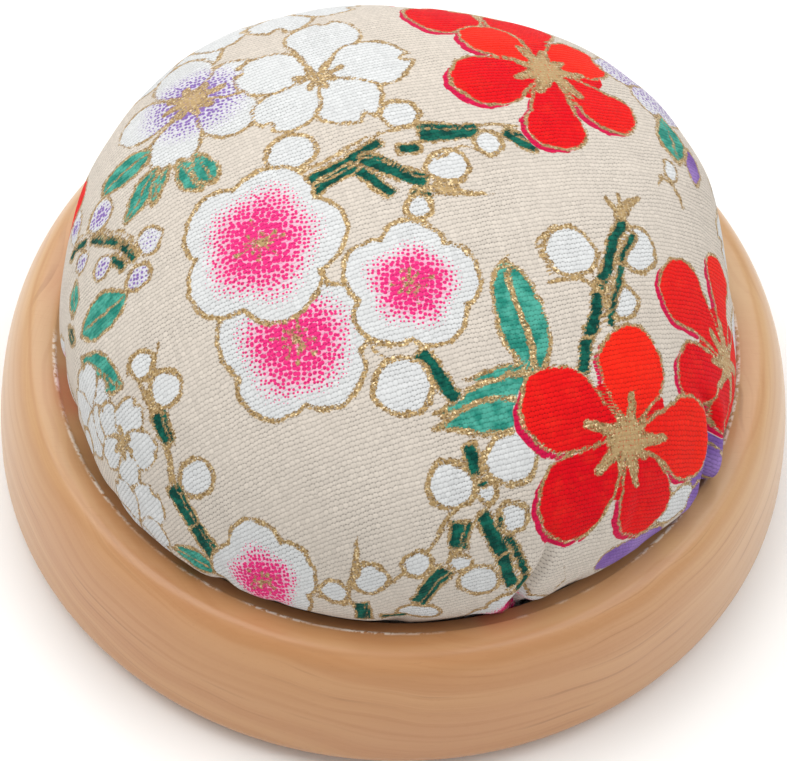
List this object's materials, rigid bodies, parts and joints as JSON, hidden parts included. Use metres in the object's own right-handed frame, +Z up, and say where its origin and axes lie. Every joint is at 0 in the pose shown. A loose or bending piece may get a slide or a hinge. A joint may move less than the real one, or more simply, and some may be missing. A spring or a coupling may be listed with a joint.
{
  "type": "pin cushion",
  "caption": "Round pin cushion: a domed, firmly stuffed printed cotton cushion gathered over a card and glued into a turned pale wooden dish with a broad rounded rim.",
  "frame": {"origin": "centre of the standing face, at the bottom centre of the bounding box", "axes": "+Z up along the turning axis of the dish; -Y is the side the reference view looks from; +X to the right of that view"},
  "size_m": [0.085, 0.085, 0.0459],
  "materials": {
    "turned_wood": "clear satin lacquer over pale honey wood with fine turned growth lines",
    "printed_cotton": "matte plain-weave cream cotton with printed blossoms and metallic gold outlines",
    "fibre_filling": "soft matte white fibre",
    "card": "matte grey board",
    "thread": "matte twisted cotton",
    "set_glue": "dull translucent set glue"
  },
  "bodies": {
    "root": {"wooden_base": "turned_wood", "cushion_cover": "printed_cotton", "stuffing": "fibre_filling", "backing_card": "card", "gathering_thread": "thread", "glue_ring": "set_glue"}
  },
  "joints": []
}
